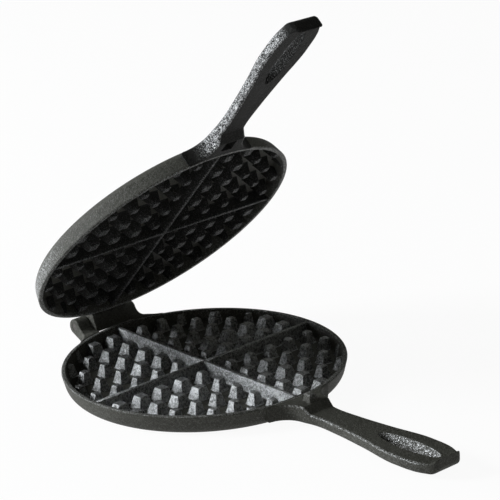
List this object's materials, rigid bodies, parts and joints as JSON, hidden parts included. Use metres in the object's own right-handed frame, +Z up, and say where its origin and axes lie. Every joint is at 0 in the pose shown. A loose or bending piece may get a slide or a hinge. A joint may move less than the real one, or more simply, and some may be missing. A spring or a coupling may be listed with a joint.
{
  "type": "stovetop waffle iron",
  "caption": "Stovetop waffle iron with hinged round cast plates, a raised peg grid inside each plate and long slotted handles.",
  "frame": {"origin": "centre of the lower plate's flat underside", "axes": "+X towards the handles, +Z up, +Y completes the right-handed frame along the hinge line"},
  "size_m": [0.3367, 0.189, 0.2614],
  "materials": {
    "seasoned_iron": "satin",
    "pin_steel": "satin"
  },
  "bodies": {
    "lower": {"lower_floor": "seasoned_iron", "lower_rim": "seasoned_iron", "lower_ribs": "seasoned_iron", "lower_pegs": "seasoned_iron", "lower_handle": "seasoned_iron", "hinge_ear_left": "seasoned_iron", "hinge_ear_right": "seasoned_iron", "hinge_pin": "pin_steel"},
    "upper": {"upper_floor": "seasoned_iron", "upper_rim": "seasoned_iron", "upper_ribs": "seasoned_iron", "upper_pegs": "seasoned_iron", "upper_handle": "seasoned_iron", "hinge_knuckle": "seasoned_iron"}
  },
  "joints": [
    {"name": "hinge", "type": "hinge", "parent": "lower", "child": "upper", "pos_m": [-0.1082, 0, 0.016], "axis": [0, -1, 0], "range_deg": [-46.5, 133.5]}
  ]
}
